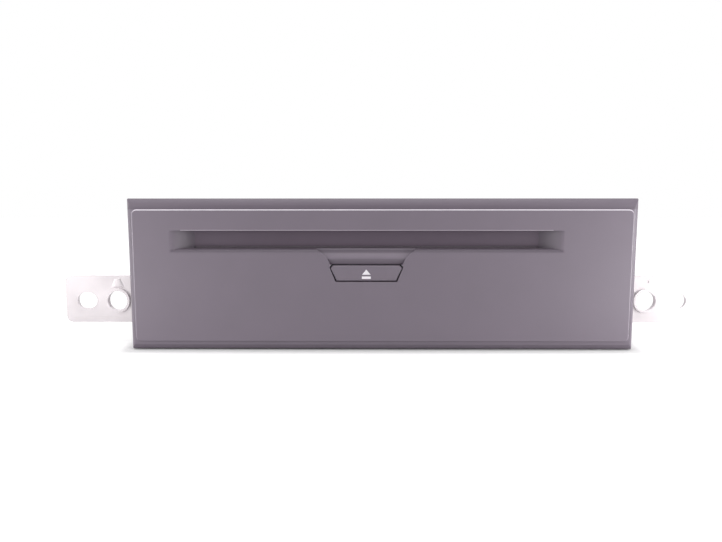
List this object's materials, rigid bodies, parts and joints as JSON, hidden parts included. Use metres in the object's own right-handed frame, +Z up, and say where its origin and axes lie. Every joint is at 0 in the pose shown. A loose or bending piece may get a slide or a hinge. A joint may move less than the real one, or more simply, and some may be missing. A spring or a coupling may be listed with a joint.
{
  "type": "car disc drive",
  "caption": "Slot-loading disc drive for a car dashboard with a framed front, one eject button and side brackets with ears.",
  "frame": {"origin": "middle of the bounding box, at the level of the feet", "axes": "+X across the front to the right as seen from the front, +Y from the front face to the rear connectors, +Z up"},
  "size_m": [0.2402, 0.175, 0.0548],
  "materials": {
    "fascia_plastic": "fine moulded texture",
    "zinc_steel": "zinc-coated sheet, dull",
    "dark_steel": "satin",
    "bright_steel": "ground",
    "black_plastic": "moulded",
    "white_acetal": "moulded",
    "grey_acetal": "moulded",
    "black_rubber": "matt",
    "black_felt": "short pile",
    "circuit_board": "solder mask",
    "aluminium": "die cast",
    "clear_glass": "polished",
    "cable_white": "flat ribbon",
    "capacitor_sleeve": "shrunk sleeve",
    "signal_blue": "moulded"
  },
  "bodies": {
    "housing": {"antenna_connector": "signal_blue", "board_screw_left": "bright_steel", "board_screw_right": "bright_steel", "bracket_screw_left_front": "bright_steel", "bracket_screw_left_rear": "bright_steel", "bracket_screw_right_front": "bright_steel", "bracket_screw_right_rear": "bright_steel", "capacitor": "capacitor_sleeve", "chassis_tray": "zinc_steel", "cover_screw_left_front": "bright_steel", "cover_screw_left_rear": "bright_steel", "cover_screw_right_front": "bright_steel", "cover_screw_right_rear": "bright_steel", "damper_left_front": "black_rubber", "damper_left_rear": "black_rubber", "damper_right_front": "black_rubber", "damper_right_rear": "black_rubber", "disc_guide_plate": "zinc_steel", "drive_belt": "black_rubber", "eject_switch": "black_plastic", "fascia": "fascia_plastic", "front_board": "circuit_board", "front_cable": "cable_white", "front_disc_guide": "black_plastic", "guide_rod_left": "bright_steel", "guide_rod_right": "bright_steel", "left_bracket": "zinc_steel", "loading_motor": "bright_steel", "main_board": "circuit_board", "main_connector": "white_acetal", "mech_frame": "zinc_steel", "processor_shield": "dark_steel", "right_bracket": "zinc_steel", "sled_motor": "bright_steel", "slot_felt_lower": "black_felt", "slot_felt_upper": "black_felt", "spindle_motor": "bright_steel", "top_cover": "zinc_steel", "traverse_base": "dark_steel", "video_connector": "black_plastic"},
    "eject_button": {"eject_button": "fascia_plastic"},
    "dust_flap": {"dust_flap": "fascia_plastic"},
    "switch_plunger": {"switch_plunger": "white_acetal"},
    "roller_bracket": {"roller_bracket": "dark_steel"},
    "feed_roller": {"roller_shaft": "bright_steel", "feed_roller_left": "black_rubber", "feed_roller_right": "black_rubber", "roller_gear": "white_acetal"},
    "pulley_gear": {"pulley_gear": "white_acetal"},
    "motor_pulley": {"motor_pulley": "white_acetal"},
    "cam_slider": {"cam_slider": "grey_acetal"},
    "clamp_arm": {"clamp_arm": "dark_steel"},
    "clamper": {"clamper": "white_acetal"},
    "turntable": {"turntable": "black_plastic"},
    "pickup_sled": {"pickup_sled": "aluminium", "objective_lens": "clear_glass"},
    "lead_screw": {"lead_screw": "bright_steel"},
    "trigger_lever": {"trigger_lever": "black_plastic"}
  },
  "joints": [
    {"name": "eject_button_press", "type": "slide", "parent": "housing", "child": "eject_button", "axis": [0, 1, 0], "range_m": [0, 0.0008], "stiffness_N_per_m": 400},
    {"name": "switch_plunger_press", "type": "slide", "parent": "housing", "child": "switch_plunger", "axis": [0, 1, 0], "range_m": [0, 0.0008]},
    {"name": "dust_flap_swing", "type": "hinge", "parent": "housing", "child": "dust_flap", "pos_m": [-0.0055, -0.0811, 0.0428], "axis": [1, 0, 0], "range_deg": [0, 80], "stiffness_Nm_per_rad": 0.0005, "springref_deg": -17.19},
    {"name": "cam_slide", "type": "slide", "parent": "housing", "child": "cam_slider", "axis": [0, -1, 0], "range_m": [0, 0.008]},
    {"name": "roller_bracket_tilt", "type": "hinge", "parent": "housing", "child": "roller_bracket", "pos_m": [-0.0055, -0.05162, 0.0334], "axis": [1, 0, 0], "range_deg": [0, 14.37]},
    {"name": "clamp_arm_swing", "type": "hinge", "parent": "housing", "child": "clamp_arm", "pos_m": [-0.0055, 0.0675, 0.0469], "axis": [1, 0, 0], "range_deg": [0, 4.11]},
    {"name": "feed_roller_spin", "type": "hinge", "parent": "roller_bracket", "child": "feed_roller", "pos_m": [-0.0055, -0.0675, 0.0354], "axis": [1, 0, 0], "continuous": true},
    {"name": "pulley_gear_spin", "type": "hinge", "parent": "roller_bracket", "child": "pulley_gear", "pos_m": [-0.0055, -0.05162, 0.0334], "axis": [1, 0, 0], "continuous": true},
    {"name": "motor_pulley_spin", "type": "hinge", "parent": "housing", "child": "motor_pulley", "pos_m": [-0.0055, -0.0295, 0.028], "axis": [1, 0, 0], "continuous": true},
    {"name": "clamper_spin", "type": "hinge", "parent": "clamp_arm", "child": "clamper", "pos_m": [-0.0055, -0.0015, 0.044], "axis": [0, 0, 1], "continuous": true},
    {"name": "turntable_spin", "type": "hinge", "parent": "housing", "child": "turntable", "pos_m": [-0.0055, -0.0015, 0.034], "axis": [0, 0, 1], "continuous": true},
    {"name": "sled_slide", "type": "slide", "parent": "housing", "child": "pickup_sled", "axis": [0, 1, 0], "range_m": [0, 0.033]},
    {"name": "lead_screw_spin", "type": "hinge", "parent": "housing", "child": "lead_screw", "pos_m": [-0.0385, 0.0325, 0.0285], "axis": [0, 1, 0], "continuous": true},
    {"name": "trigger_lever_swing", "type": "hinge", "parent": "housing", "child": "trigger_lever", "pos_m": [0.0245, 0.0625, 0.0432], "axis": [0, 0, -1], "range_deg": [0, 10], "stiffness_Nm_per_rad": 0.002}
  ],
  "couplings": [
    {"joint": "switch_plunger_press", "follows": "eject_button_press", "ratio": 1},
    {"joint": "roller_bracket_tilt", "follows": "cam_slide", "rad_per_m": 31.332},
    {"joint": "clamp_arm_swing", "follows": "cam_slide", "rad_per_m": 8.9448},
    {"joint": "pulley_gear_spin", "follows": "feed_roller_spin", "ratio": -0.42857},
    {"joint": "motor_pulley_spin", "follows": "feed_roller_spin", "ratio": -1.1905},
    {"joint": "lead_screw_spin", "follows": "sled_slide", "rad_per_m": -2094.4}
  ]
}
